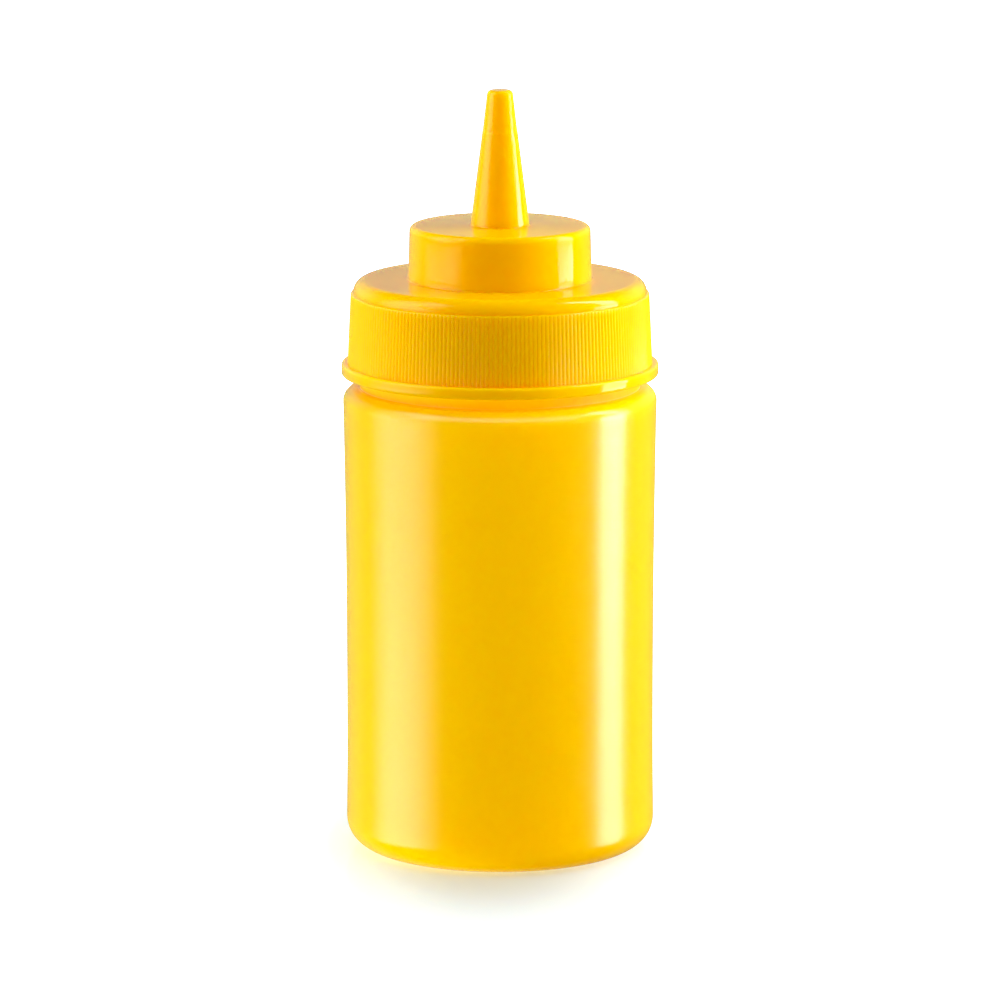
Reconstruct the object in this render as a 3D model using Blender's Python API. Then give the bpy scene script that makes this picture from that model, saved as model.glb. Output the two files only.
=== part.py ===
"""Wide-mouth squeeze bottle: a blow-moulded bottle and its one-piece cap with a nozzle.

Both pieces are turned about +Z. The origin is the centre of the base, on the surface that the
bottle stands on. Lengths are in metres, written as millimetres times MM.
"""
import math

import bmesh
import bpy

MM = 0.001

# Sides of the large rings and of the slim nozzle
ROUND_STEPS = 80
NOZZLE_STEPS = 40

# Bottle: body
BODY_TOP_RADIUS = 35.0 * MM
BODY_BASE_RADIUS = 34.55 * MM
WAIST_DEPTH = 0.34 * MM         # how far the wall draws in halfway up
WALL_STEPS = 8
SHOULDER_HEIGHT = 104.2 * MM
SHOULDER_ROUND = 3.0 * MM

# Bottle: base, with a shallow push-up inside a flat standing ring
BASE_CORNER = 6.5 * MM
STANDING_RING_INNER_RADIUS = 24.5 * MM
PUSH_UP_RADIUS = 20.0 * MM
PUSH_UP_HEIGHT = 1.5 * MM

# Bottle: neck, a 63 mm finish that the cap closes over
NECK_RADIUS = 31.2 * MM
NECK_ENTRY = 0.7 * MM           # how far the neck reaches up into the cap
NECK_ROOT_ROUND = 0.6 * MM
NECK_LIP_ROUND = 0.4 * MM

# Cap, with heights counted from the skirt's lower rim
RIM_ABOVE_SHOULDER = 3.0 * MM
FIT_GAP = 0.3 * MM              # clearance between the neck and the cap
BEAD_RADIUS = 35.35 * MM
BEAD_HEIGHT = 2.65 * MM
BEAD_ROUND = 0.6 * MM
RIB_COUNT = 220
RIB_DEPTH = 0.14 * MM
RIB_CREST_LOWER_RADIUS = 33.98 * MM
RIB_CREST_UPPER_RADIUS = 33.25 * MM
RIB_TOP_HEIGHT = 18.2 * MM
RIB_END_RUN = 0.15 * MM         # height over which the ribs' upper ends fall to the band
BAND_SETBACK = 0.55 * MM        # from the ribs' crests in to the smooth band above them
CAP_HEIGHT = 21.35 * MM
CAP_ROUND = 2.9 * MM

# Cap: the step that carries the nozzle
STEP_LOWER_RADIUS = 20.4 * MM
STEP_UPPER_RADIUS = 20.15 * MM
STEP_TOP_HEIGHT = 33.45 * MM
STEP_ROOT_ROUND = 0.4 * MM
STEP_EDGE_ROUND = 1.3 * MM

# Cap: nozzle, with a cut line where the tip comes off
NOZZLE_ROOT_RADIUS = 6.5 * MM
NOZZLE_ROOT_ROUND = 0.5 * MM
CUT_LINE_HEIGHT = 54.35 * MM
CUT_LINE_RADIUS = 3.95 * MM
CUT_LINE_STEP = 0.1 * MM
TIP_RADIUS = 2.9 * MM
TIP_HEIGHT = 63.6 * MM
TIP_ROUND = 1.0 * MM

# Finishes: linear colour and roughness
BOTTLE_YELLOW = (0.93, 0.50, 0.006, 1.0)
BOTTLE_ROUGHNESS = 0.36
CAP_YELLOW = (0.90, 0.45, 0.005, 1.0)
CAP_ROUGHNESS = 0.2
SHARP_ANGLE = math.radians(35.0)


def clear_scene():
    for item in list(bpy.data.objects):
        bpy.data.objects.remove(item, do_unlink=True)


def plastic(name, colour, roughness):
    material = bpy.data.materials.new(name)
    material.use_nodes = True
    shader = material.node_tree.nodes["Principled BSDF"]
    shader.inputs["Base Color"].default_value = colour
    shader.inputs["Roughness"].default_value = roughness
    shader.inputs["Metallic"].default_value = 0.0
    material.diffuse_color = colour
    return material


def arc(centre_radius, centre_height, round_radius, start, end, steps):
    """Outline points (radius, height) on an arc, from start to end in degrees."""
    points = []
    for step in range(steps + 1):
        angle = math.radians(start + (end - start) * step / steps)
        radius = centre_radius + round_radius * math.cos(angle)
        height = centre_height + round_radius * math.sin(angle)
        points.append((radius, height))
    return points


def ring(mesh, radius, height, sides):
    """One circle of vertices about the axis."""
    circle = []
    for side in range(sides):
        angle = 2.0 * math.pi * side / sides
        place = (radius * math.cos(angle), radius * math.sin(angle), height)
        circle.append(mesh.verts.new(place))
    return circle


def ribbed_ring(mesh, crest_radius, height):
    """One circle that alternates between the ribs' crests and the valleys between them."""
    circle = []
    for side in range(2 * RIB_COUNT):
        angle = math.pi * side / RIB_COUNT
        radius = crest_radius - RIB_DEPTH * (side % 2)
        place = (radius * math.cos(angle), radius * math.sin(angle), height)
        circle.append(mesh.verts.new(place))
    return circle


def join_rings(mesh, first, second):
    """Faces between two circles. Circles that differ in count are joined by triangles that
    step along whichever circle lags behind in angle."""
    if len(first) == len(second):
        for side in range(len(first)):
            after = (side + 1) % len(first)
            mesh.faces.new((first[side], first[after], second[after], second[side]))
        return
    on_first = 0
    on_second = 0
    while on_first < len(first) or on_second < len(second):
        here = first[on_first % len(first)]
        there = second[on_second % len(second)]
        next_share = (on_first + 0.5) / len(first)
        other_share = (on_second + 0.5) / len(second)
        if next_share <= other_share:
            on_first += 1
            mesh.faces.new((here, first[on_first % len(first)], there))
        else:
            on_second += 1
            mesh.faces.new((here, second[on_second % len(second)], there))


def turn(mesh, outline, sides):
    """Carries a circle along an outline of (radius, height) points and returns every circle."""
    circles = [ring(mesh, radius, height, sides) for radius, height in outline]
    for lower, upper in zip(circles, circles[1:]):
        join_rings(mesh, lower, upper)
    return circles


def body_radius(height):
    """The wall widens slightly to the shoulder and draws in halfway up."""
    share = (height - BASE_CORNER) / (SHOULDER_HEIGHT - SHOULDER_ROUND - BASE_CORNER)
    widening = (BODY_TOP_RADIUS - BODY_BASE_RADIUS) * share
    return BODY_BASE_RADIUS + widening - WAIST_DEPTH * 4.0 * share * (1.0 - share)


def bottle_outline():
    """From the middle of the base, out and up the wall, over the shoulder and up the neck."""
    outline = [(PUSH_UP_RADIUS, PUSH_UP_HEIGHT), (STANDING_RING_INNER_RADIUS, 0.0)]
    outline += arc(BODY_BASE_RADIUS - BASE_CORNER, BASE_CORNER, BASE_CORNER, -90.0, 0.0, 8)
    shoulder_start = SHOULDER_HEIGHT - SHOULDER_ROUND
    for step in range(1, WALL_STEPS):
        height = BASE_CORNER + (shoulder_start - BASE_CORNER) * step / WALL_STEPS
        outline.append((body_radius(height), height))
    shoulder_centre = BODY_TOP_RADIUS - SHOULDER_ROUND
    outline += arc(shoulder_centre, shoulder_start, SHOULDER_ROUND, 0.0, 90.0, 6)
    root_centre = NECK_RADIUS + NECK_ROOT_ROUND
    root_height = SHOULDER_HEIGHT + NECK_ROOT_ROUND
    outline += arc(root_centre, root_height, NECK_ROOT_ROUND, 270.0, 180.0, 2)
    lip_centre = NECK_RADIUS - NECK_LIP_ROUND
    lip_height = neck_height() - NECK_LIP_ROUND
    outline += arc(lip_centre, lip_height, NECK_LIP_ROUND, 0.0, 90.0, 3)
    return outline


def cap_seat_height():
    """Height of the cap's lower rim above the ground."""
    return SHOULDER_HEIGHT + RIM_ABOVE_SHOULDER


def neck_height():
    """The neck ends just inside the cap."""
    return cap_seat_height() + NECK_ENTRY


def finish_object(name, mesh, material):
    """Turns the built mesh into an object of its own, with its faces pointing outwards."""
    bmesh.ops.recalc_face_normals(mesh, faces=mesh.faces)
    data = bpy.data.meshes.new(name)
    mesh.to_mesh(data)
    mesh.free()
    data.materials.append(material)
    data.shade_smooth()
    data.set_sharp_from_angle(angle=SHARP_ANGLE)
    made = bpy.data.objects.new(name, data)
    bpy.context.scene.collection.objects.link(made)
    return made


def make_bottle():
    mesh = bmesh.new()
    circles = turn(mesh, bottle_outline(), ROUND_STEPS)
    mesh.faces.new(circles[0])
    mesh.faces.new(circles[-1])
    material = plastic("bottle_plastic", BOTTLE_YELLOW, BOTTLE_ROUGHNESS)
    return finish_object("bottle", mesh, material)


def seat_outline():
    """The shallow seat that closes over the neck, from its ceiling down to the rim."""
    wall_radius = NECK_RADIUS + FIT_GAP
    ceiling = NECK_ENTRY + FIT_GAP
    round_radius = NECK_LIP_ROUND
    corner = arc(wall_radius - round_radius, ceiling - round_radius, round_radius, 90.0, 0.0, 3)
    return corner + [(wall_radius, 0.0)]


def bead_outline():
    """The stout rounded bead round the skirt's lower rim."""
    centre = BEAD_RADIUS - BEAD_ROUND
    lower = arc(centre, BEAD_ROUND, BEAD_ROUND, -90.0, 0.0, 3)
    upper = arc(centre, BEAD_HEIGHT - BEAD_ROUND, BEAD_ROUND, 0.0, 90.0, 3)
    return lower + upper


def cap_top_outline():
    """From the smooth band above the ribs, over the rounded edge, in to the raised step and
    up over the step's own rounded edge."""
    band_radius = RIB_CREST_UPPER_RADIUS - BAND_SETBACK
    outline = [(band_radius, RIB_TOP_HEIGHT + RIB_END_RUN)]
    edge_centre = band_radius - CAP_ROUND
    outline += arc(edge_centre, CAP_HEIGHT - CAP_ROUND, CAP_ROUND, 0.0, 90.0, 6)
    root_centre = STEP_LOWER_RADIUS + STEP_ROOT_ROUND
    outline += arc(root_centre, CAP_HEIGHT + STEP_ROOT_ROUND, STEP_ROOT_ROUND, 270.0, 180.0, 2)
    step_centre = STEP_UPPER_RADIUS - STEP_EDGE_ROUND
    edge_height = STEP_TOP_HEIGHT - STEP_EDGE_ROUND
    outline += arc(step_centre, edge_height, STEP_EDGE_ROUND, 0.0, 90.0, 4)
    return outline


def nozzle_outline():
    """The long taper, the small step at the cut line and the closed, rounded tip."""
    root_centre = NOZZLE_ROOT_RADIUS + NOZZLE_ROOT_ROUND
    root_height = STEP_TOP_HEIGHT + NOZZLE_ROOT_ROUND
    outline = arc(root_centre, root_height, NOZZLE_ROOT_ROUND, 270.0, 180.0, 3)
    outline.append((CUT_LINE_RADIUS, CUT_LINE_HEIGHT))
    outline.append((CUT_LINE_RADIUS - CUT_LINE_STEP, CUT_LINE_HEIGHT + CUT_LINE_STEP))
    outline += arc(TIP_RADIUS - TIP_ROUND, TIP_HEIGHT - TIP_ROUND, TIP_ROUND, 0.0, 90.0, 4)
    return outline


def make_cap():
    mesh = bmesh.new()
    circles = turn(mesh, seat_outline() + bead_outline(), ROUND_STEPS)
    mesh.faces.new(circles[0])

    rib_feet = ribbed_ring(mesh, RIB_CREST_LOWER_RADIUS, BEAD_HEIGHT)
    rib_tops = ribbed_ring(mesh, RIB_CREST_UPPER_RADIUS, RIB_TOP_HEIGHT)
    join_rings(mesh, circles[-1], rib_feet)
    join_rings(mesh, rib_feet, rib_tops)

    top_circles = turn(mesh, cap_top_outline(), ROUND_STEPS)
    join_rings(mesh, rib_tops, top_circles[0])

    nozzle_circles = turn(mesh, nozzle_outline(), NOZZLE_STEPS)
    join_rings(mesh, top_circles[-1], nozzle_circles[0])
    mesh.faces.new(nozzle_circles[-1])

    material = plastic("cap_plastic", CAP_YELLOW, CAP_ROUGHNESS)
    return finish_object("cap", mesh, material)


def main():
    clear_scene()
    bottle = make_bottle()
    cap = make_cap()
    cap.parent = bottle
    cap.location = (0.0, 0.0, cap_seat_height())


main()
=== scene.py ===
"""Squeeze bottle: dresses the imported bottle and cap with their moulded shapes, plastics and stage.

Laid out as an add-on and run as a script. Lengths are in metres, heights are above the ground.
"""
import math

import bpy
import numpy as np
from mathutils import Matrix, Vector
from bpy.props import FloatProperty, FloatVectorProperty, IntProperty, PointerProperty


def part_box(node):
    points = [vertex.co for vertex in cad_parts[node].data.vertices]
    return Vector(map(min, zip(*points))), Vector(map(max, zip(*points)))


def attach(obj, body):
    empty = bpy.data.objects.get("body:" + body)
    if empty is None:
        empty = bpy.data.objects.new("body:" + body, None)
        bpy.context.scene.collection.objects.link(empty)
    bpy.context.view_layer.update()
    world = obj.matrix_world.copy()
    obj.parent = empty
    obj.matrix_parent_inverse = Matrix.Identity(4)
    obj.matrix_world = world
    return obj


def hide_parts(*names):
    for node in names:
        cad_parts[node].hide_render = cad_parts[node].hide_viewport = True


bl_info = {
    "name": "Squeeze Bottle",
    "version": (1, 0, 0),
    "blender": (4, 5, 0),
    "location": "3D View > Sidebar > Squeeze Bottle",
    "description": "Makes a wide-mouth squeeze bottle with its ribbed nozzle cap",
    "category": "Object",
}

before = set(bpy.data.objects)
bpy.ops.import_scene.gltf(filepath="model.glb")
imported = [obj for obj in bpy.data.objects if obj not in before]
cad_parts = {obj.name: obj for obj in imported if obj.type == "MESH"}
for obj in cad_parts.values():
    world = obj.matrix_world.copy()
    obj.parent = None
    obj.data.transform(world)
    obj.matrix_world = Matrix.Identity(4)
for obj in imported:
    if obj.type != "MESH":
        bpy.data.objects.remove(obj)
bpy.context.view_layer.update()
BOTTLE_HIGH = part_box("bottle")[1]
CAP_LOW, CAP_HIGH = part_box("cap")
MM = 0.001
SHARP_ANGLE = 40.0


def length(name, description, default):
    """A size in metres that a user may change."""
    return FloatProperty(name=name, description=description, default=default, unit="LENGTH",
                         precision=5)


def share(name, description, default):
    """A number from 0 to 1 that a user may change."""
    return FloatProperty(name=name, description=description, default=default, min=0.0, max=1.0,
                         subtype="FACTOR")


def colour(name, description, default):
    """A colour that a user may change."""
    return FloatVectorProperty(name=name, description=description, default=default, size=3,
                               min=0.0, max=1.0, subtype="COLOR")


class BottleSizes(bpy.types.PropertyGroup):
    """Sizes of the blow-moulded bottle."""
    body_radius: length("Body radius", "Radius just under the shoulder", BOTTLE_HIGH.x)
    base_radius: length("Base radius", "Radius just above the base corner", 34.55 * MM)
    waist_draw: length("Waist", "How far the wall draws in halfway up", 0.34 * MM)
    base_corner: length("Base corner", "Radius of the rounded base corner", 6.5 * MM)
    standing_radius: length("Standing ring", "Inner radius of the flat ring it stands on",
                            24.5 * MM)
    push_up_radius: length("Push-up radius", "Radius of the raised middle of the base", 20.0 * MM)
    push_up_height: length("Push-up height", "How far the middle of the base is raised",
                           1.5 * MM)
    shoulder_height: length("Shoulder height", "Height of the shoulder's flat top", 104.2 * MM)
    shoulder_round: length("Shoulder round", "Radius of the rounded shoulder", 3.0 * MM)
    neck_radius: length("Neck radius", "Radius of the neck", 31.2 * MM)
    neck_root: length("Neck root", "Fillet where the neck leaves the shoulder", 0.6 * MM)
    neck_lip: length("Neck lip", "Round of the neck's upper edge", 0.4 * MM)
    wall_ripple: length("Wall ripple", "Slight unevenness that blowing leaves in the wall",
                        0.025 * MM)
    seam_proud: length("Mould line", "How proud the mould's parting line stands", 0.06 * MM)
    pinch_proud: length("Pinch line", "How proud the pinched ridge under the base stands",
                        0.35 * MM)
    columns: IntProperty(name="Columns", description="Faces round the bottle", default=480)


class CapSizes(bpy.types.PropertyGroup):
    """Sizes of the one-piece cap, with heights counted from its lower rim."""
    bead_radius: length("Bead radius", "Radius of the bead round the lower rim", CAP_HIGH.x)
    bead_height: length("Bead height", "Height of the bead", 2.65 * MM)
    bead_round: length("Bead round", "Round of the bead's edges", 0.6 * MM)
    seat_radius: length("Seat radius", "Radius of the seat over the neck", 31.5 * MM)
    seat_height: length("Seat height", "Height of the seat over the neck", 1.0 * MM)
    skirt_height: length("Skirt height", "Height of the cap's flat top", 21.35 * MM)
    edge_round: length("Edge round", "Radius of the rounded edge over the ribs", 2.9 * MM)
    step_lower_radius: length("Step foot radius", "Radius of the raised step's foot", 20.4 * MM)
    step_upper_radius: length("Step top radius", "Radius of the raised step's top", 20.15 * MM)
    step_height: length("Step height", "Height of the raised step's top", 33.45 * MM)
    step_root: length("Step root", "Fillet at the step's foot", 0.4 * MM)
    step_round: length("Step round", "Radius of the step's rounded edge", 1.3 * MM)
    nozzle_radius: length("Nozzle radius", "Radius of the nozzle's foot", 6.5 * MM)
    nozzle_root: length("Nozzle root", "Fillet at the nozzle's foot", 0.5 * MM)
    cut_height: length("Cut line height", "Height of the line where the tip is cut", 54.35 * MM)
    cut_radius: length("Cut line radius", "Nozzle radius at the cut line", 3.95 * MM)
    cut_step: length("Cut line step", "How far the tip is set in above the line", 0.1 * MM)
    tip_radius: length("Tip radius", "Radius of the shut tip", 2.9 * MM)
    tip_round: length("Tip round", "Round of the tip's edge", 1.0 * MM)
    columns: IntProperty(name="Columns", description="Faces round the cap", default=440)


class RibSizes(bpy.types.PropertyGroup):
    """Sizes of the fine upright ribs round the cap's skirt."""
    count: IntProperty(name="Ribs", description="Ribs round the skirt", default=220)
    depth: length("Rib depth", "From the valleys out to the crests", 0.14 * MM)
    foot_radius: length("Foot radius", "Crest radius at the ribs' feet", 33.98 * MM)
    top_radius: length("Top radius", "Crest radius at the ribs' upper ends", 33.25 * MM)
    top_height: length("Top height", "Height of the ribs' upper ends over the rim", 18.2 * MM)
    end_run: length("End run", "Height over which the upper ends round off", 0.45 * MM)
    setback: length("Setback", "From the crests in to the smooth band above", 0.55 * MM)
    columns: IntProperty(name="Columns per rib", description="Faces across one rib", default=8)


class PlasticLooks(bpy.types.PropertyGroup):
    """Colours and gloss of the two plastics."""
    bottle_colour: colour("Bottle colour", "Main colour of the bottle", (0.935, 0.567, 0.0))
    bottle_deep: colour("Bottle deep colour", "Colour where the wall is thicker",
                        (0.922, 0.550, 0.0))
    bottle_gloss: share("Bottle roughness", "Roughness of the bottle's satin skin", 0.22)
    neck_roughness: share("Neck roughness", "Roughness of the bottle's neck", 0.85)
    cap_colour: colour("Cap colour", "Main colour of the cap", (0.925, 0.485, 0.0))
    cap_deep: colour("Cap deep colour", "Colour in the cap's flow marks", (0.910, 0.465, 0.0))
    cap_gloss: share("Cap roughness", "Roughness of the cap's glossy skin", 0.09)


class StageLooks(bpy.types.PropertyGroup):
    """Floor, light and camera."""
    floor_colour: colour("Floor colour", "Colour of the pale floor", (0.77, 0.89, 0.93))
    floor_size: length("Floor size", "Length of the floor's sides", 8.0)
    background: FloatProperty(name="Background", description="Brightness of the white wall",
                              default=1.5, min=0.0)
    camera_distance: length("Camera distance", "Level distance from the bottle's axis", 1.5)
    camera_height: length("Camera height", "Height above the ground", 0.3673)
    camera_pitch: FloatProperty(name="Camera pitch", description="Tilt below level",
                                default=math.radians(10.9), subtype="ANGLE")
    camera_lens: FloatProperty(name="Lens", description="Focal length in millimetres",
                               default=245.9, min=1.0)


# ---------------------------------------------------------------- turned meshes


def arc(centre_radius, centre_height, round_radius, start, end, steps):
    """Outline points (radius, height) on an arc, from start to end in degrees."""
    angles = np.radians(np.linspace(start, end, steps + 1))
    radii = centre_radius + round_radius * np.cos(angles)
    heights = centre_height + round_radius * np.sin(angles)
    return list(zip(radii, heights))


def straight(start, end, steps):
    """Outline points after start, evenly spaced, up to and with end."""
    shares = np.arange(1, steps + 1) / steps
    return [tuple(np.add(start, np.subtract(end, start) * part)) for part in shares]


class TurnedMesh:
    """Collects circles of points about the axis and the faces between them."""

    def __init__(self):
        self.points = []
        self.faces = []

    def circle(self, radius, height, sides):
        """Adds evenly spaced points about the axis and returns their numbers."""
        start = len(self.points)
        angles = 2.0 * math.pi * np.arange(sides) / sides
        for angle in angles:
            self.points.append((radius * math.cos(angle), radius * math.sin(angle), height))
        return list(range(start, start + sides))

    def join(self, lower, upper):
        """Faces between two circles. Where their counts differ, triangles step along
        whichever circle lags behind in angle."""
        if len(lower) == len(upper):
            for side in range(len(lower)):
                after = (side + 1) % len(lower)
                self.faces.append((lower[side], lower[after], upper[after], upper[side]))
            return
        on_lower = on_upper = 0
        while on_lower < len(lower) or on_upper < len(upper):
            here = lower[on_lower % len(lower)]
            there = upper[on_upper % len(upper)]
            if (on_lower + 0.5) / len(lower) <= (on_upper + 0.5) / len(upper):
                on_lower += 1
                self.faces.append((here, lower[on_lower % len(lower)], there))
            else:
                on_upper += 1
                self.faces.append((here, upper[on_upper % len(upper)], there))

    def turn(self, outline, sides, start=None):
        """Circles along an outline, joined to each other and to the circle given."""
        last = start
        for radius, height in outline:
            circle = self.circle(radius, height, sides)
            if last is not None:
                self.join(last, circle)
            last = circle
        return last

    def close(self, circle, height, upwards):
        """A fan of triangles from a circle to a point on the axis."""
        self.points.append((0.0, 0.0, height))
        pole = len(self.points) - 1
        for side in range(len(circle)):
            pair = (circle[side], circle[(side + 1) % len(circle)])
            self.faces.append((*pair, pole) if upwards else (pair[1], pair[0], pole))

    def mesh(self, name):
        """A Blender mesh of all points and faces so far."""
        made = bpy.data.meshes.new(name)
        made.from_pydata(self.points, [], self.faces)
        made.update()
        return made


def show(name, mesh):
    """Links a finished mesh as an object at the origin."""
    piece = bpy.data.objects.new(name, mesh)
    bpy.context.scene.collection.objects.link(piece)
    return piece


def smooth(mesh):
    """Shades a mesh smooth, apart from its sharp edges."""
    mesh.shade_smooth()
    mesh.set_sharp_from_angle(angle=math.radians(SHARP_ANGLE))


# ---------------------------------------------------------------- shader helpers


def new_group(name, inputs, outputs):
    """A shader node group with named float or colour inputs and outputs."""
    group = bpy.data.node_groups.new(name, "ShaderNodeTree")
    kinds = {"float": "NodeSocketFloat", "colour": "NodeSocketColor", "vector": "NodeSocketVector"}
    for label, kind, value in inputs:
        socket = group.interface.new_socket(label, in_out="INPUT", socket_type=kinds[kind])
        if value is not None:
            socket.default_value = value
    for label, kind in outputs:
        group.interface.new_socket(label, in_out="OUTPUT", socket_type=kinds[kind])
    enter = group.nodes.new("NodeGroupInput")
    leave = group.nodes.new("NodeGroupOutput")
    return group, enter, leave


def noise(tree, vector, scale, detail=2.0, roughness=0.5):
    """A Noise Texture node; returns its value."""
    node = tree.nodes.new("ShaderNodeTexNoise")
    node.inputs["Scale"].default_value = scale
    node.inputs["Detail"].default_value = detail
    node.inputs["Roughness"].default_value = roughness
    tree.links.new(vector, node.inputs["Vector"])
    return node.outputs["Fac"]


def math_node(tree, operation, first, second=None, third=None, clamp=False):
    """A Math node whose inputs are sockets or plain numbers; returns its output."""
    node = tree.nodes.new("ShaderNodeMath")
    node.operation = operation
    node.use_clamp = clamp
    for socket, value in zip(node.inputs, (first, second, third)):
        if value is None:
            continue
        if isinstance(value, (int, float)):
            socket.default_value = value
        else:
            tree.links.new(value, socket)
    return node.outputs[0]


def ramp(tree, value, start, end, low, high):
    """A smooth change from low to high while the value goes from start to end."""
    node = tree.nodes.new("ShaderNodeMapRange")
    node.interpolation_type = "SMOOTHSTEP"
    for label, number in (("From Min", start), ("From Max", end), ("To Min", low),
                          ("To Max", high)):
        node.inputs[label].default_value = number
    tree.links.new(value, node.inputs["Value"])
    return node.outputs["Result"]


def straight_ramp(tree, value, start, end):
    """A straight change from 0 to 1 while the value goes from start to end."""
    node = tree.nodes.new("ShaderNodeMapRange")
    node.inputs["From Min"].default_value = start
    node.inputs["From Max"].default_value = end
    tree.links.new(value, node.inputs["Value"])
    return node.outputs["Result"]


def object_axes(tree):
    """The X, Y and Z of a point in metres, because every object sits at the origin."""
    split = tree.nodes.new("ShaderNodeSeparateXYZ")
    place = tree.nodes.new("ShaderNodeTexCoord").outputs["Object"]
    tree.links.new(place, split.inputs[0])
    return split.outputs


def stretched(tree, vector, scale):
    """Coordinates multiplied per axis, so that a pattern is drawn out along one of them."""
    node = tree.nodes.new("ShaderNodeMapping")
    node.inputs["Scale"].default_value = scale
    tree.links.new(vector, node.inputs["Vector"])
    return node.outputs["Vector"]


# The patterns in the plastics: noise scales in waves per metre, and how far each pattern is
# drawn out upright.
STREAK_DRAWN_OUT = (1.0, 1.0, 0.06)
STREAK_SCALE = 420.0
FLOW_START = 0.35
FLOW_END = 0.95
PEEL_SCALE = 260.0
GRAIN_SCALE = 3200.0
SMEAR_DRAWN_OUT = (1.0, 1.0, 0.4)
SMEAR_SCALE = 70.0
SCUFF_DRAWN_OUT = (1.0, 1.0, 0.12)
SCUFF_SCALE = 1500.0
SCUFF_START = 0.66
SCUFF_END = 0.72


def flow_colour_group():
    """Slow cloudy changes and faint upright streaks between a plastic's two colours."""
    inputs = (("Vector", "vector", None), ("Colour", "colour", None), ("Deep", "colour", None),
              ("Cloud scale", "float", 30.0), ("Streak share", "float", 0.35))
    group, enter, leave = new_group("Plastic flow", inputs, (("Colour", "colour"),))
    place = enter.outputs["Vector"]
    cloud = group.nodes.new("ShaderNodeTexNoise")
    cloud.inputs["Detail"].default_value = 3.0
    group.links.new(place, cloud.inputs["Vector"])
    group.links.new(enter.outputs["Cloud scale"], cloud.inputs["Scale"])
    streak = noise(group, stretched(group, place, STREAK_DRAWN_OUT), STREAK_SCALE, 2.0)
    streaks = math_node(group, "MULTIPLY", streak, enter.outputs["Streak share"])
    blend = math_node(group, "ADD", cloud.outputs["Fac"], streaks)
    spread = straight_ramp(group, blend, FLOW_START, FLOW_END)
    mix = group.nodes.new("ShaderNodeMix")
    mix.data_type = "RGBA"
    group.links.new(spread, mix.inputs["Factor"])
    group.links.new(enter.outputs["Colour"], mix.inputs["A"])
    group.links.new(enter.outputs["Deep"], mix.inputs["B"])
    group.links.new(mix.outputs["Result"], leave.inputs["Colour"])
    return group


def skin_height_group():
    """Height of a moulded skin: a slow orange peel and a fine grain, in metres."""
    inputs = (("Vector", "vector", None), ("Peel", "float", 4e-6), ("Grain", "float", 1e-6))
    group, enter, leave = new_group("Moulded skin", inputs, (("Height", "float"),))
    peel = noise(group, enter.outputs["Vector"], PEEL_SCALE, 1.0)
    grain = noise(group, enter.outputs["Vector"], GRAIN_SCALE, 2.0)
    peels = math_node(group, "MULTIPLY", peel, enter.outputs["Peel"])
    grains = math_node(group, "MULTIPLY", grain, enter.outputs["Grain"])
    total = math_node(group, "ADD", peels, grains)
    group.links.new(total, leave.inputs["Height"])
    return group


def handling_group():
    """Roughness that varies with faint handling smears and hairline scuffs."""
    inputs = (("Vector", "vector", None), ("Roughness", "float", 0.3),
              ("Smear", "float", 0.05), ("Scuff", "float", 0.02))
    group, enter, leave = new_group("Handled surface", inputs, (("Roughness", "float"),))
    place = enter.outputs["Vector"]
    smear = noise(group, stretched(group, place, SMEAR_DRAWN_OUT), SMEAR_SCALE, 4.0, 0.6)
    smears = math_node(group, "MULTIPLY", math_node(group, "SUBTRACT", smear, 0.5),
                       enter.outputs["Smear"])
    hair = noise(group, stretched(group, place, SCUFF_DRAWN_OUT), SCUFF_SCALE, 2.0)
    thin = straight_ramp(group, hair, SCUFF_START, SCUFF_END)
    scuffs = math_node(group, "MULTIPLY", thin, enter.outputs["Scuff"])
    total = math_node(group, "ADD", enter.outputs["Roughness"], smears)
    total = math_node(group, "ADD", total, scuffs, clamp=True)
    group.links.new(total, leave.inputs["Roughness"])
    return group


def shared_group(name, build):
    """Builds a shader group once and reuses it after that."""
    return bpy.data.node_groups.get(name) or build()


def place_group(tree, group, vector, **values):
    """Puts a shader group in a material; an underscore in a value's name stands for a space."""
    node = tree.nodes.new("ShaderNodeGroup")
    node.node_tree = group
    tree.links.new(vector, node.inputs["Vector"])
    for label, value in values.items():
        node.inputs[label.replace("_", " ")].default_value = value
    return node


def opaque(rgb):
    """A colour with full alpha, as sockets take it."""
    return (*rgb, 1.0)


# Light goes furthest through both plastics in red and hardly at all in blue.
SCATTER_SHARES = (1.0, 0.8, 0.1)
PLASTIC_IOR = 1.5

# Height over which a band of other roughness starts and ends.
BAND_EDGE = 0.5 * MM


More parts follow.
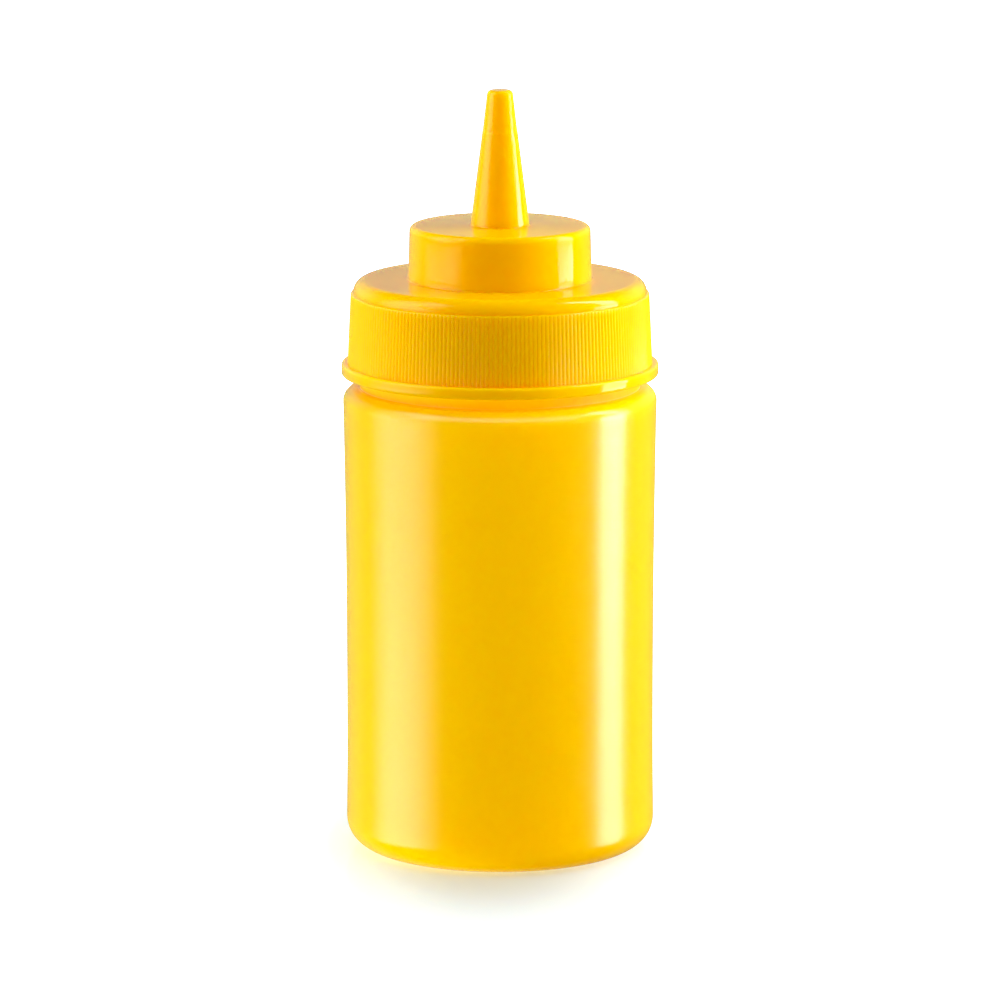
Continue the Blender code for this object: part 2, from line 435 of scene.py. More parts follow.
def plastic(name, main, deep, roughness, peel, grain, cloud_scale, scatter_depth, band=None):
    """A coloured polyethylene with flow marks, a moulded skin and light scattered inside. Band
    gives two heights and the roughness of the skin between them."""
    material = bpy.data.materials.new(name)
    material.use_nodes = True
    tree = material.node_tree
    shader = tree.nodes["Principled BSDF"]
    place = tree.nodes.new("ShaderNodeTexCoord").outputs["Object"]

    flow = place_group(tree, shared_group("Plastic flow", flow_colour_group), place,
                       Colour=opaque(main), Deep=opaque(deep), Cloud_scale=cloud_scale)
    tree.links.new(flow.outputs["Colour"], shader.inputs["Base Color"])

    handled = place_group(tree, shared_group("Handled surface", handling_group), place,
                          Roughness=roughness)
    tree.links.new(handled.outputs["Roughness"], shader.inputs["Roughness"])
    if band:
        bottom, top, level = band
        height = object_axes(tree)["Z"]
        rise = ramp(tree, height, bottom, bottom + BAND_EDGE, 0.0, 1.0)
        fall = ramp(tree, height, top - BAND_EDGE, top, 1.0, 0.0)
        inside = math_node(tree, "MULTIPLY", rise, fall)
        tree.links.new(math_node(tree, "MULTIPLY_ADD", inside, level - roughness, roughness),
                       handled.inputs["Roughness"])

    skin = place_group(tree, shared_group("Moulded skin", skin_height_group), place,
                       Peel=peel, Grain=grain)
    bump = tree.nodes.new("ShaderNodeBump")
    bump.inputs["Distance"].default_value = 1.0
    tree.links.new(skin.outputs["Height"], bump.inputs["Height"])
    tree.links.new(bump.outputs["Normal"], shader.inputs["Normal"])

    shader.inputs["IOR"].default_value = PLASTIC_IOR
    shader.inputs["Subsurface Weight"].default_value = 1.0
    shader.inputs["Subsurface Radius"].default_value = SCATTER_SHARES
    shader.inputs["Subsurface Scale"].default_value = scatter_depth
    return material


# ---------------------------------------------------------------- the bottle


def body_radius(sizes, height):
    """The wall widens slightly to the shoulder and draws in halfway up."""
    top = sizes.shoulder_height - sizes.shoulder_round
    part = (height - sizes.base_corner) / (top - sizes.base_corner)
    widening = (sizes.body_radius - sizes.base_radius) * part
    return sizes.base_radius + widening - sizes.waist_draw * 4.0 * part * (1.0 - part)


# Rings of the raised middle of the base, as shares of its radius.
PUSH_UP_RINGS = (0.02, 0.05, 0.1, 0.2, 0.4, 0.6, 0.8, 0.87)

# The slope round it is rounded off at both ends: shares of the softness outwards from that end,
# with lengths down from the raised middle at the top and up from the ground at the foot.
SLOPE_SOFTNESS = 1.2 * MM
SLOPE_TOP = ((-1.0, 0.0), (-0.3, 0.06 * MM), (0.6, 0.32 * MM))
SLOPE_FOOT = ((-0.8, 0.28 * MM), (0.1, 0.04 * MM), (0.6, 0.0))

# Rows of points up the wall.
WALL_ROWS = 60


def base_outline(sizes):
    """The raised middle of the base, its sloping side, the standing ring and the corner."""
    outline = [(sizes.push_up_radius * part, sizes.push_up_height) for part in PUSH_UP_RINGS]
    outline += [(sizes.push_up_radius + part * SLOPE_SOFTNESS, sizes.push_up_height - drop)
                for part, drop in SLOPE_TOP]
    outline += [(sizes.standing_radius + part * SLOPE_SOFTNESS, rise)
                for part, rise in SLOPE_FOOT]
    corner_centre = sizes.base_radius - sizes.base_corner
    outline += arc(corner_centre, sizes.base_corner, sizes.base_corner, -90.0, 0.0, 18)
    return outline


def bottle_outline(sizes):
    """From the middle of the base, up the wall, over the shoulder and up the neck."""
    outline = base_outline(sizes)
    wall_top = sizes.shoulder_height - sizes.shoulder_round
    for height in np.linspace(sizes.base_corner, wall_top, WALL_ROWS + 1)[1:-1]:
        outline.append((body_radius(sizes, height), height))
    shoulder_centre = sizes.body_radius - sizes.shoulder_round
    outline += arc(shoulder_centre, wall_top, sizes.shoulder_round, 0.0, 90.0, 14)
    root = sizes.neck_root
    outline += arc(sizes.neck_radius + root, sizes.shoulder_height + root, root, 270.0, 180.0, 5)
    lip = sizes.neck_lip
    lip_height = BOTTLE_HIGH.z - lip
    outline += straight(outline[-1], (sizes.neck_radius, lip_height), 6)
    outline += arc(sizes.neck_radius - lip, lip_height, lip, 0.0, 90.0, 5)[1:]
    return outline


# Half the widths of the mould line on the wall and of the pinch line under the base, the length
# over which the pinch line ends, and the height over which the shoulder turns even.
SEAM_HALF_WIDTH = 0.35 * MM
PINCH_HALF_WIDTH = 0.5 * MM
PINCH_END = 2.0 * MM
SHOULDER_FADE = 4.0 * MM

# Waves of the blown wall: strength, waves round, waves on the way up, start. Their sum stays
# within WAVES_TOP.
WALL_WAVES = ((1.0, 3.0, 0.7, 0.4), (0.6, 5.0, -1.3, 2.1), (0.4, 2.0, 2.2, 1.2))
WAVES_TOP = 2.0


def uneven_wall(points, sizes):
    """Moves the wall's points in and out a little, as blowing leaves it, and raises the
    mould's parting line on both sides."""
    angle = np.arctan2(points[:, 1], points[:, 0])
    radius = np.hypot(points[:, 0], points[:, 1])
    height = points[:, 2]
    low = sizes.base_corner
    high = sizes.shoulder_height - sizes.shoulder_round
    on_wall = np.clip((height - 0.3 * low) / low, 0.0, 1.0)
    on_wall *= np.clip((high + 0.5 * sizes.shoulder_round - height) / SHOULDER_FADE, 0.0, 1.0)
    on_wall *= radius > sizes.neck_radius + sizes.neck_root
    turn = 2.0 * math.pi * height / (high - low)
    ripple = sum(strength * np.sin(waves * angle + rise * turn + start)
                 for strength, waves, rise, start in WALL_WAVES)
    seam = np.exp(-((points[:, 1] / SEAM_HALF_WIDTH) ** 2))
    move = sizes.wall_ripple * 0.5 * (ripple - WAVES_TOP) + sizes.seam_proud * (seam - 1.0)
    points[:, 0] += move * on_wall * np.cos(angle)
    points[:, 1] += move * on_wall * np.sin(angle)
    return points


def pinched_base(points, sizes):
    """Lowers a narrow ridge across the raised middle of the base, where the mould's halves
    pinched the soft tube shut."""
    radius = np.hypot(points[:, 0], points[:, 1])
    inside = np.clip((sizes.push_up_radius - radius) / PINCH_END, 0.0, 1.0)
    inside *= points[:, 2] < sizes.base_corner
    ridge = np.exp(-((points[:, 1] / PINCH_HALF_WIDTH) ** 2))
    points[:, 2] -= sizes.pinch_proud * ridge * inside
    return points


# The neck is dull from just above the shoulder to a little way up inside the cap.
NECK_DULL_START = 0.2 * MM
NECK_DULL_END = 5.0 * MM


class SQUEEZE_OT_make_bottle(bpy.types.Operator):
    """Make the blow-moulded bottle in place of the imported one"""
    bl_idname = "squeeze.make_bottle"
    bl_label = "Make Bottle"

    def execute(self, context):
        sizes = context.scene.squeeze_bottle_sizes
        looks = context.scene.squeeze_plastic
        turned = TurnedMesh()
        outline = bottle_outline(sizes)
        first = turned.circle(*outline[0], sizes.columns)
        turned.close(first, outline[0][1], upwards=False)
        last = turned.turn(outline[1:], sizes.columns, first)
        turned.close(last, outline[-1][1], upwards=True)
        points = uneven_wall(np.array(turned.points), sizes)
        turned.points = pinched_base(points, sizes).tolist()
        mesh = turned.mesh("bottle_shell")
        smooth(mesh)
        mesh.materials.append(plastic(
            "Bottle plastic", looks.bottle_colour, looks.bottle_deep, looks.bottle_gloss,
            peel=5e-6, grain=1.4e-6, cloud_scale=28.0, scatter_depth=10.0 * MM,
            band=(sizes.shoulder_height + NECK_DULL_START, CAP_LOW.z + NECK_DULL_END,
                  looks.neck_roughness)))
        piece = show("bottle_shell", mesh)
        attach(piece, "root")
        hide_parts("bottle")
        return {"FINISHED"}


# ---------------------------------------------------------------- the cap


SEAT_CORNER = 0.4 * MM
BAND_ABOVE_RIBS = 0.12 * MM
CUT_BELOW = 0.25 * MM
CUT_ABOVE = 0.12 * MM


def seat_outline(sizes):
    """The shallow seat over the neck, from its ceiling down to the rim."""
    corner = SEAT_CORNER
    ceiling = CAP_LOW.z + sizes.seat_height
    outline = arc(sizes.seat_radius - corner, ceiling - corner, corner, 90.0, 0.0, 5)
    return outline + straight(outline[-1], (sizes.seat_radius, CAP_LOW.z), 2)


def bead_outline(sizes):
    """The stout rounded bead round the skirt's lower rim."""
    centre = sizes.bead_radius - sizes.bead_round
    low = CAP_LOW.z + sizes.bead_round
    high = CAP_LOW.z + sizes.bead_height - sizes.bead_round
    return (arc(centre, low, sizes.bead_round, -90.0, 0.0, 8)
            + arc(centre, high, sizes.bead_round, 0.0, 90.0, 8))


# Rows of points up the skirt, as shares of its height.
SKIRT_ROWS = (0.0, 0.01, 0.02, 0.2, 0.4, 0.6, 0.8, 0.93, 0.965, 0.978, 0.986, 0.992, 0.997, 1.0)


def skirt_outline(ribs, sizes):
    """The valleys' line, closely spaced near the upper ends, where the ribs round off."""
    foot = (ribs.foot_radius - ribs.depth, CAP_LOW.z + sizes.bead_height)
    top = (ribs.top_radius - ribs.depth, CAP_LOW.z + ribs.top_height)
    return [tuple(np.add(foot, np.subtract(top, foot) * part)) for part in SKIRT_ROWS]


def cap_top_outline(ribs, sizes):
    """From the smooth band over the ribs, over the edge, to the step and over its edge."""
    band = ribs.top_radius - ribs.setback
    top = CAP_LOW.z + sizes.skirt_height
    outline = [(band, CAP_LOW.z + ribs.top_height + BAND_ABOVE_RIBS)]
    outline += arc(band - sizes.edge_round, top - sizes.edge_round, sizes.edge_round,
                   0.0, 90.0, 16)
    root = sizes.step_root
    foot = (sizes.step_lower_radius + root, top)
    outline += straight(outline[-1], foot, 5)
    outline += arc(foot[0], top + root, root, 270.0, 180.0, 6)[1:]
    step_top = CAP_LOW.z + sizes.step_height
    edge = sizes.step_round
    outline += straight(outline[-1], (sizes.step_upper_radius, step_top - edge), 8)
    outline += arc(sizes.step_upper_radius - edge, step_top - edge, edge, 0.0, 90.0, 12)[1:]
    return outline


def nozzle_outline(sizes):
    """The long taper, the small step at the cut line and the shut, rounded tip."""
    step_top = CAP_LOW.z + sizes.step_height
    root = sizes.nozzle_root
    outline = arc(sizes.nozzle_radius + root, step_top + root, root, 270.0, 180.0, 6)
    cut = CAP_LOW.z + sizes.cut_height
    outline += straight(outline[-1], (sizes.cut_radius, cut - CUT_BELOW), 12)
    inset = sizes.cut_radius - sizes.cut_step
    outline += [(sizes.cut_radius, cut), (inset, cut + CUT_ABOVE)]
    edge = sizes.tip_round
    tip_edge = (sizes.tip_radius, CAP_HIGH.z - edge)
    outline += straight(outline[-1], tip_edge, 8)
    outline += arc(sizes.tip_radius - edge, CAP_HIGH.z - edge, edge, 0.0, 90.0, 8)[1:]
    return outline


# Keeps the skirt's first and last rows inside the ribs' limits.
TINY = 1e-6

RIB_INPUTS = (
    ("Rib count", "NodeSocketFloat"),
    ("Rib depth", "NodeSocketFloat"),
    ("Foot height", "NodeSocketFloat"),
    ("Top height", "NodeSocketFloat"),
    ("End run", "NodeSocketFloat"),
    ("Plastic", "NodeSocketMaterial"),
)


def rib_tree():
    """Geometry Nodes that push the skirt out into upright ribs with rounded crests."""
    tree = bpy.data.node_groups.new("Moulded ribs", "GeometryNodeTree")
    tree.interface.new_socket("Geometry", in_out="INPUT", socket_type="NodeSocketGeometry")
    for label, kind in RIB_INPUTS:
        tree.interface.new_socket(label, in_out="INPUT", socket_type=kind)
    tree.interface.new_socket("Geometry", in_out="OUTPUT", socket_type="NodeSocketGeometry")
    enter = tree.nodes.new("NodeGroupInput").outputs
    leave = tree.nodes.new("NodeGroupOutput").inputs

    place = tree.nodes.new("ShaderNodeSeparateXYZ")
    tree.links.new(tree.nodes.new("GeometryNodeInputPosition").outputs[0], place.inputs[0])
    across, along, up = place.outputs
    angle = math_node(tree, "ARCTAN2", along, across)
    half_turns = math_node(tree, "MULTIPLY", math_node(tree, "MULTIPLY", enter["Rib count"], 0.5),
                           angle)
    crest = math_node(tree, "ABSOLUTE", math_node(tree, "COSINE", half_turns))

    below_top = math_node(tree, "SUBTRACT", enter["Top height"], up)
    fade = math_node(tree, "DIVIDE", below_top, enter["End run"], clamp=True)
    rest = math_node(tree, "SUBTRACT", 1.0, fade)
    ends = math_node(tree, "SQRT", math_node(tree, "SUBTRACT", 1.0,
                                             math_node(tree, "MULTIPLY", rest, rest)))
    above_foot = math_node(tree, "GREATER_THAN", up,
                           math_node(tree, "SUBTRACT", enter["Foot height"], TINY))
    below = math_node(tree, "LESS_THAN", up, math_node(tree, "ADD", enter["Top height"], TINY))
    amount = math_node(tree, "MULTIPLY", crest, ends)
    amount = math_node(tree, "MULTIPLY", amount, above_foot)
    amount = math_node(tree, "MULTIPLY", amount, below)
    amount = math_node(tree, "MULTIPLY", amount, enter["Rib depth"])

    outwards = tree.nodes.new("ShaderNodeCombineXYZ")
    tree.links.new(math_node(tree, "MULTIPLY", amount, math_node(tree, "COSINE", angle)),
                   outwards.inputs["X"])
    tree.links.new(math_node(tree, "MULTIPLY", amount, math_node(tree, "SINE", angle)),
                   outwards.inputs["Y"])

    on_skirt = tree.nodes.new("GeometryNodeInputNamedAttribute")
    on_skirt.data_type = "BOOLEAN"
    on_skirt.inputs["Name"].default_value = "skirt"
    push = tree.nodes.new("GeometryNodeSetPosition")
    tree.links.new(enter["Geometry"], push.inputs["Geometry"])
    tree.links.new(on_skirt.outputs["Attribute"], push.inputs["Selection"])
    tree.links.new(outwards.outputs[0], push.inputs["Offset"])
    real = tree.nodes.new("GeometryNodeRealizeInstances")
    tree.links.new(push.outputs["Geometry"], real.inputs["Geometry"])
    paint = tree.nodes.new("GeometryNodeSetMaterial")
    tree.links.new(real.outputs["Geometry"], paint.inputs["Geometry"])
    tree.links.new(enter["Plastic"], paint.inputs["Material"])
    tree.links.new(paint.outputs["Geometry"], leave["Geometry"])
    return tree


def apply_ribs(piece, ribs, sizes, material):
    """Runs the rib tree on the cap and keeps its result as the cap's plain mesh."""
    tree = rib_tree()
    modifier = piece.modifiers.new("Ribs", "NODES")
    modifier.node_group = tree
    values = {
        "Rib count": float(ribs.count),
        "Rib depth": ribs.depth,
        "Foot height": CAP_LOW.z + sizes.bead_height,
        "Top height": CAP_LOW.z + ribs.top_height,
        "End run": ribs.end_run,
        "Plastic": material,
    }
    for item in tree.interface.items_tree:
        if item.in_out == "INPUT" and item.name in values:
            modifier[item.identifier] = values[item.name]
    evaluated = piece.evaluated_get(bpy.context.evaluated_depsgraph_get())
    ribbed = bpy.data.meshes.new_from_object(evaluated)
    piece.modifiers.remove(modifier)
    plain = piece.data
    piece.data = ribbed
    ribbed.name = piece.name
    bpy.data.meshes.remove(plain)
    return ribbed


class SQUEEZE_OT_make_cap(bpy.types.Operator):
    """Make the one-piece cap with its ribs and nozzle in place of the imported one"""
    bl_idname = "squeeze.make_cap"
    bl_label = "Make Cap"

    def execute(self, context):
        sizes = context.scene.squeeze_cap_sizes
        ribs = context.scene.squeeze_rib_sizes
        looks = context.scene.squeeze_plastic
        turned = TurnedMesh()
        inside = seat_outline(sizes)
        first = turned.circle(*inside[0], sizes.columns)
        turned.close(first, inside[0][1], upwards=False)
        rim = turned.turn(inside[1:] + bead_outline(sizes), sizes.columns, first)
        skirt_start = len(turned.points)
        skirt = turned.turn(skirt_outline(ribs, sizes), ribs.count * ribs.columns, rim)
        skirt_end = len(turned.points)
        top = turned.turn(cap_top_outline(ribs, sizes), sizes.columns, skirt)
        nozzle_columns = sizes.columns // 4
        tip = turned.turn(nozzle_outline(sizes), nozzle_columns, top)
        turned.close(tip, CAP_HIGH.z, upwards=True)
        mesh = turned.mesh("cap_moulding")
        on_skirt = mesh.attributes.new("skirt", "BOOLEAN", "POINT")
        marks = np.zeros(len(turned.points), bool)
        marks[skirt_start:skirt_end] = True
        on_skirt.data.foreach_set("value", marks)

        material = plastic(
            "Cap plastic", looks.cap_colour, looks.cap_deep, looks.cap_gloss,
            peel=2.5e-6, grain=0.4e-6, cloud_scale=45.0, scatter_depth=5.0 * MM)
        piece = show("cap_moulding", mesh)
        ribbed = apply_ribs(piece, ribs, sizes, material)
        smooth(ribbed)
        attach(piece, "root")
        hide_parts("cap")
        return {"FINISHED"}


# ---------------------------------------------------------------- the stage

# The objects that a panel or a card may light or that may shade it.
BOTTLE = ("bottle_shell",)
CAP = ("cap_moulding",)
BOTH = BOTTLE + CAP
FLOOR = ("Floor",)

# Soft panels that light colour: name, what it lights, what shades it, azimuth from the camera's
# side in degrees (positive to the right), distance, height, the panel's own width and height,
# brightness (red, green, blue). Those for the bottle and the cap are filtered yellow, so that
# they lay no grey veil on the plastic.
LAMPS = (
    ("Bottle low left panel", BOTTLE, BOTH, -82.0, 0.60, -0.20, 0.52, 0.54, (4.6, 5.5, 0.0)),
    ("Bottle back left panel", BOTTLE, BOTH, -125.0, 0.60, 0.28, 0.40, 0.54, (1.9, 1.9, 0.0)),
    ("Bottle right panel", BOTTLE, BOTH, 82.0, 0.60, 0.30, 0.52, 0.54, (4.5, 4.8, 0.0)),
    ("Bottle back right panel", BOTTLE, BOTH, 125.0, 0.60, 0.28, 0.40, 0.54, (6.2, 6.5, 0.0)),
    ("Bottle low front panel", BOTTLE, BOTH, 0.0, 0.60, -0.20, 1.10, 0.54, (0.50, 0.10, 0.0)),
    ("Bottle high front panel", BOTTLE, BOTTLE, 0.0, 0.45, 0.60, 1.20, 0.50, (2.18, 2.24, 0.0)),
    ("Cap left panel", CAP, BOTH, -96.0, 0.60, 0.30, 0.52, 0.54, (6.5, 7.8, 0.0)),
    ("Cap right panel", CAP, BOTH, 94.0, 0.60, 0.30, 0.52, 0.54, (8.6, 11.0, 0.0)),
    ("Cap front panel", CAP, BOTH, 0.0, 0.60, 0.28, 1.10, 0.54, (0.95, 0.82, 0.0)),
    ("Cap top panel", CAP, BOTH, 0.0, 0.25, 0.90, 1.20, 0.60, (1.1, 1.15, 0.0)),
    ("Table panel", FLOOR, BOTH, 90.0, 0.45, 1.20, 1.50, 1.50, (1.33, 1.33, 1.33)),
    ("Table fill panel", FLOOR, FLOOR, 0.0, 0.05, 1.20, 1.50, 1.50, (1.2, 1.2, 1.2)),
)

# One more panel, which shows in gloss alone, and the point at which all of them aim.
GLOSS_LAMP = ("Shoulder panel", BOTTLE, BOTH, 0.0, 0.50, 0.70, 1.80, 0.50, (2.1, 2.1, 2.1))
LAMP_AIM = (0.0, 0.0, 0.085)

# Glowing cards that show only in the gloss of one piece, as upright stripes: name, the piece,
# sideways place, nearest and furthest place from front to back, lowest and highest edge,
# strength and fade. A fade says, from front to back, where the glow starts, where it is full, up
# to where it stays full and where it ends.
LEFT_FADE = (-1.00, -0.27, -0.10, 0.45)
FAR_LEFT_FADE = (-3.00, -0.80, -0.28, 1.37)
CARDS = (
    ("Bottle right low card", BOTTLE, 1.0, -0.21, 0.23, -0.50, -0.150, 7.0, None),
    ("Bottle right card", BOTTLE, 1.0, -0.21, 0.23, -0.150, 0.300, 17.0, None),
    ("Bottle right shoulder card", BOTTLE, 1.0, 0.02, 0.30, 0.300, 2.000, 15.0, None),
    ("Bottle left card", BOTTLE, -1.0, -1.10, 0.50, -0.50, 2.000, 4.5, LEFT_FADE),
    ("Bead right card", CAP, 1.0, -0.21, 0.23, -0.170, -0.060, 6.4, None),
    ("Step right card", CAP, 3.0, -0.60, 0.79, -0.330, -0.232, 7.3, None),
    ("Band right card", CAP, 1.0, -0.21, 0.24, 0.050, 0.190, 8.0, None),
    ("Nozzle right card", CAP, 1.0, -0.21, 0.24, 0.190, 0.270, 1.5, None),
    ("Edge right card", CAP, 1.0, -0.05, 0.24, 0.280, 2.000, 7.0, None),
    ("Bead left card", CAP, -1.0, -1.10, 0.50, -0.170, -0.060, 1.6, LEFT_FADE),
    ("Step left card", CAP, -3.0, -3.27, 1.52, -0.330, -0.232, 1.6, FAR_LEFT_FADE),
    ("Band left card", CAP, -1.0, -1.10, 0.50, 0.050, 0.190, 1.2, LEFT_FADE),
    ("Nozzle left card", CAP, -1.0, -1.10, 0.50, 0.190, 2.000, 1.7, LEFT_FADE),
)


def glow(name, strength, fade):
    """A clear glowing material, even or with a fade as in CARDS."""
    material = bpy.data.materials.new(name)
    material.use_nodes = True
    material.cycles.emission_sampling = "NONE"
    tree = material.node_tree
    tree.nodes.clear()
    emission = tree.nodes.new("ShaderNodeEmission")
    clear = tree.nodes.new("ShaderNodeBsdfTransparent")
    both = tree.nodes.new("ShaderNodeAddShader")
    output = tree.nodes.new("ShaderNodeOutputMaterial")
    tree.links.new(emission.outputs[0], both.inputs[0])
    tree.links.new(clear.outputs[0], both.inputs[1])
    tree.links.new(both.outputs[0], output.inputs["Surface"])
    if not fade:
        emission.inputs["Strength"].default_value = strength
        return material
    across = object_axes(tree)["Y"]
    start, full, still_full, end = fade
    near = ramp(tree, across, start, full, 0.0, strength)
    far = ramp(tree, across, still_full, end, 1.0, 0.0)
    tree.links.new(math_node(tree, "MULTIPLY", near, far), emission.inputs["Strength"])
    return material


def collect(name, objects):
    """A collection of the objects named, for the links of a lamp or a card."""
    pieces = bpy.data.collections.new(name)
    for piece in objects:
        pieces.objects.link(bpy.data.objects[piece])
    return pieces


def make_card(name, lit, across, near, far, low, high, strength, fade):
    """A glowing card beside the bottle, from near (towards the camera) to far, which shows only
    in the gloss of the pieces named."""
    mesh = bpy.data.meshes.new(name)
    mesh.from_pydata([(across, near, low), (across, far, low), (across, far, high),
                      (across, near, high)], [], [(0, 1, 2, 3)])
    mesh.materials.append(glow(name, strength, fade))
    card = bpy.data.objects.new(name, mesh)
    card.visible_camera = False
    card.visible_diffuse = False
    card.visible_shadow = False
    card.visible_transmission = False
    card.light_linking.receiver_collection = collect(name + " lights", lit)
    bpy.context.scene.collection.objects.link(card)


# The floor's painted glow, which only the camera sees, grows in two steps with the distance from a
# point just left of the bottle's axis. The distance sideways counts as many times as the sideways
# factor below. Numbers: start, end, strength at the start and at the end. Where the glow is faint,
# round the bottle's foot, it leaves a painted shadow set to the left, on top of the real shadow and
# reflection there.
PAINTED_SHADOW_MIDDLE = -0.002
PAINTED_SHADOW_SIDEWAYS = 2.2
FLOOR_GLOW_NEAR = (0.032, 0.085, 0.0, 0.48)
FLOOR_GLOW_FAR = (0.078, 0.115, 0.0, 1.6)
FLOOR_GLOW_COLOUR = (0.75, 0.85, 1.0)
FLOOR_ROUGHNESS = 0.08
FLOOR_IOR = 1.15


def floor_glow(tree):
    """Strength of the floor's painted glow, which grows outwards and only the camera sees, leaving a
    painted shadow round the bottle's foot.
    """
    axes = object_axes(tree)
    # Distance from the middle of the painted shadow, stretched sideways.
    sideways = math_node(tree, "MULTIPLY", math_node(tree, "SUBTRACT", axes["X"], PAINTED_SHADOW_MIDDLE),
                         PAINTED_SHADOW_SIDEWAYS)
    squares = [math_node(tree, "MULTIPLY", side, side) for side in (sideways, axes["Y"])]
    out = math_node(tree, "SQRT", math_node(tree, "ADD", *squares))
    glows = [ramp(tree, out, *numbers) for numbers in (FLOOR_GLOW_NEAR, FLOOR_GLOW_FAR)]
    seen = tree.nodes.new("ShaderNodeLightPath").outputs["Is Camera Ray"]
    return math_node(tree, "MULTIPLY", math_node(tree, "ADD", *glows), seen)


def clear_from_below(tree, shader):
    """Lets the underside of the bottle be seen through the floor."""
    clear = tree.nodes.new("ShaderNodeBsdfTransparent")
    side = tree.nodes.new("ShaderNodeMixShader")
    tree.links.new(tree.nodes.new("ShaderNodeNewGeometry").outputs["Backfacing"], side.inputs[0])
    tree.links.new(shader.outputs[0], side.inputs[1])
    tree.links.new(clear.outputs[0], side.inputs[2])
    tree.links.new(side.outputs[0], tree.nodes["Material Output"].inputs["Surface"])


def make_floor(looks):
    """A pale polished floor, clear from below, with a painted glow that whitens it further out and a
    painted shadow near the bottle.
    """
    half = looks.floor_size / 2.0
    mesh = bpy.data.meshes.new("Floor")
    mesh.from_pydata([(-half, -half, 0), (half, -half, 0), (half, half, 0), (-half, half, 0)],
                     [], [(0, 1, 2, 3)])
    material = bpy.data.materials.new("Floor")
    material.use_nodes = True
    material.cycles.emission_sampling = "NONE"
    tree = material.node_tree
    shader = tree.nodes["Principled BSDF"]
    shader.inputs["Base Color"].default_value = opaque(looks.floor_colour)
    shader.inputs["Roughness"].default_value = FLOOR_ROUGHNESS
    shader.inputs["IOR"].default_value = FLOOR_IOR
    shader.inputs["Emission Color"].default_value = opaque(FLOOR_GLOW_COLOUR)
    tree.links.new(floor_glow(tree), shader.inputs["Emission Strength"])
    clear_from_below(tree, shader)
    mesh.materials.append(material)
    floor = bpy.data.objects.new("Floor", mesh)
    floor.visible_glossy = False
    bpy.context.scene.collection.objects.link(floor)


def make_lamp(name, lit, shading, azimuth, distance, height, width, tall, brightness,
              gloss_only=False):
    """A soft panel aimed at the bottle's middle that lights only the pieces named. It shows
    either in their colour or in their gloss."""
    light = bpy.data.lights.new(name, "AREA")
    light.shape = "RECTANGLE"
    light.size = width
    light.size_y = tall
    light.energy = math.pi * width * tall
    light.color = brightness
    panel = bpy.data.objects.new(name, light)
    turn = math.radians(azimuth)
    panel.location = (distance * math.sin(turn), -distance * math.cos(turn), height)
    aim = Vector(LAMP_AIM) - panel.location
    panel.rotation_euler = aim.to_track_quat("-Z", "Y").to_euler()
    panel.visible_camera = False
    panel.visible_glossy = gloss_only
    panel.visible_diffuse = not gloss_only
    bpy.context.scene.collection.objects.link(panel)
    panel.light_linking.receiver_collection = collect(name + " lights", lit)
    panel.light_linking.blocker_collection = collect(name + " shaded by", shading)


# The pale wall behind the bottle, by the direction that gloss looks in: start, end, and the
# strength at both.
WALL_BEHIND = (0.3, 0.75, 0.0, 1.0)
WALL_LEFT_TO_RIGHT = (-0.6, 0.6, 0.34, 0.17)
WALL_ABOVE_FLOOR = (-0.05, 0.12, 0.0, 0.25)
WALL_TOP = (0.35, 0.6, 1.0, 0.0)


def make_surround(looks):
    """The room: white to the eye, and a pale wall behind that shows in gloss."""
    world = bpy.data.worlds.new("Surround")
    world.use_nodes = True
    world.cycles.sampling_method = "NONE"
    tree = world.node_tree
    room = tree.nodes["Background"]
    room.inputs["Color"].default_value = (1.0, 1.0, 1.0, 1.0)
    split = tree.nodes.new("ShaderNodeSeparateXYZ")
    tree.links.new(tree.nodes.new("ShaderNodeTexCoord").outputs["Generated"], split.inputs[0])
    behind = ramp(tree, split.outputs["Y"], *WALL_BEHIND)
    sides = ramp(tree, split.outputs["X"], *WALL_LEFT_TO_RIGHT)
    level = math_node(tree, "ADD", sides, ramp(tree, split.outputs["Z"], *WALL_ABOVE_FLOOR))
    fade = ramp(tree, split.outputs["Z"], *WALL_TOP)
    gloss = math_node(tree, "MULTIPLY", math_node(tree, "MULTIPLY", behind, level), fade)
    path = tree.nodes.new("ShaderNodeLightPath")
    gloss = math_node(tree, "MULTIPLY", gloss, path.outputs["Is Glossy Ray"])
    white = math_node(tree, "MULTIPLY", path.outputs["Is Camera Ray"], looks.background)
    tree.links.new(math_node(tree, "ADD", gloss, white), room.inputs["Strength"])
    bpy.context.scene.world = world


SENSOR_WIDTH = 36.0


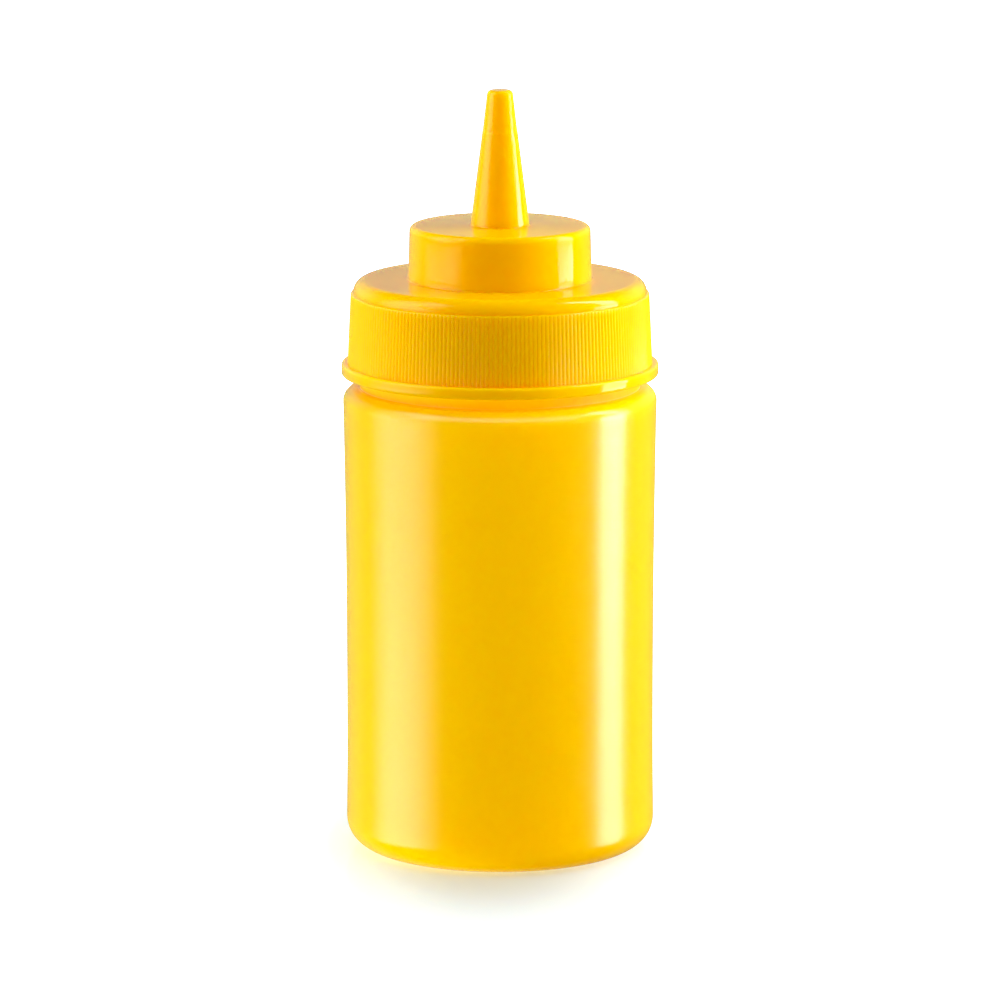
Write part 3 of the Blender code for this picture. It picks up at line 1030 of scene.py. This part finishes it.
def make_camera(looks):
    """The camera in front, slightly above the bottle and tilted down to it."""
    camera = bpy.data.cameras.new("Camera")
    camera.lens = looks.camera_lens
    camera.sensor_width = SENSOR_WIDTH
    stand = bpy.data.objects.new("Camera", camera)
    stand.location = (0.0, -looks.camera_distance, looks.camera_height)
    stand.rotation_euler = (math.radians(90.0) - looks.camera_pitch, 0.0, 0.0)
    bpy.context.scene.collection.objects.link(stand)
    bpy.context.scene.camera = stand


class SQUEEZE_OT_make_stage(bpy.types.Operator):
    """Make the pale floor, the soft light and the camera"""
    bl_idname = "squeeze.make_stage"
    bl_label = "Make Stage"

    def execute(self, context):
        looks = context.scene.squeeze_stage
        make_floor(looks)
        for card in CARDS:
            make_card(*card)
        for lamp in LAMPS:
            make_lamp(*lamp)
        make_lamp(*GLOSS_LAMP, gloss_only=True)
        make_surround(looks)
        make_camera(looks)
        context.scene.view_settings.view_transform = "Standard"
        return {"FINISHED"}


class SQUEEZE_PT_panel(bpy.types.Panel):
    """Lists the bottle's pieces and the stage"""
    bl_label = "Squeeze Bottle"
    bl_idname = "SQUEEZE_PT_panel"
    bl_space_type = "VIEW_3D"
    bl_region_type = "UI"
    bl_category = "Squeeze Bottle"

    def draw(self, context):
        for operator in (SQUEEZE_OT_make_bottle, SQUEEZE_OT_make_cap, SQUEEZE_OT_make_stage):
            self.layout.operator(operator.bl_idname)
        for group in SETTINGS:
            column = self.layout.column(align=True)
            settings = getattr(context.scene, group)
            for name in settings.__annotations__:
                column.prop(settings, name)


SETTINGS = {
    "squeeze_bottle_sizes": BottleSizes,
    "squeeze_cap_sizes": CapSizes,
    "squeeze_rib_sizes": RibSizes,
    "squeeze_plastic": PlasticLooks,
    "squeeze_stage": StageLooks,
}
CLASSES = (*SETTINGS.values(), SQUEEZE_OT_make_bottle, SQUEEZE_OT_make_cap,
           SQUEEZE_OT_make_stage, SQUEEZE_PT_panel)


def register():
    for item in CLASSES:
        bpy.utils.register_class(item)
    for name, group in SETTINGS.items():
        setattr(bpy.types.Scene, name, PointerProperty(type=group))


def unregister():
    for name in SETTINGS:
        delattr(bpy.types.Scene, name)
    for item in reversed(CLASSES):
        bpy.utils.unregister_class(item)


def main():
    register()
    bpy.ops.squeeze.make_bottle()
    bpy.ops.squeeze.make_cap()
    bpy.ops.squeeze.make_stage()
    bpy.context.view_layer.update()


if __name__ == "__main__":
    main()
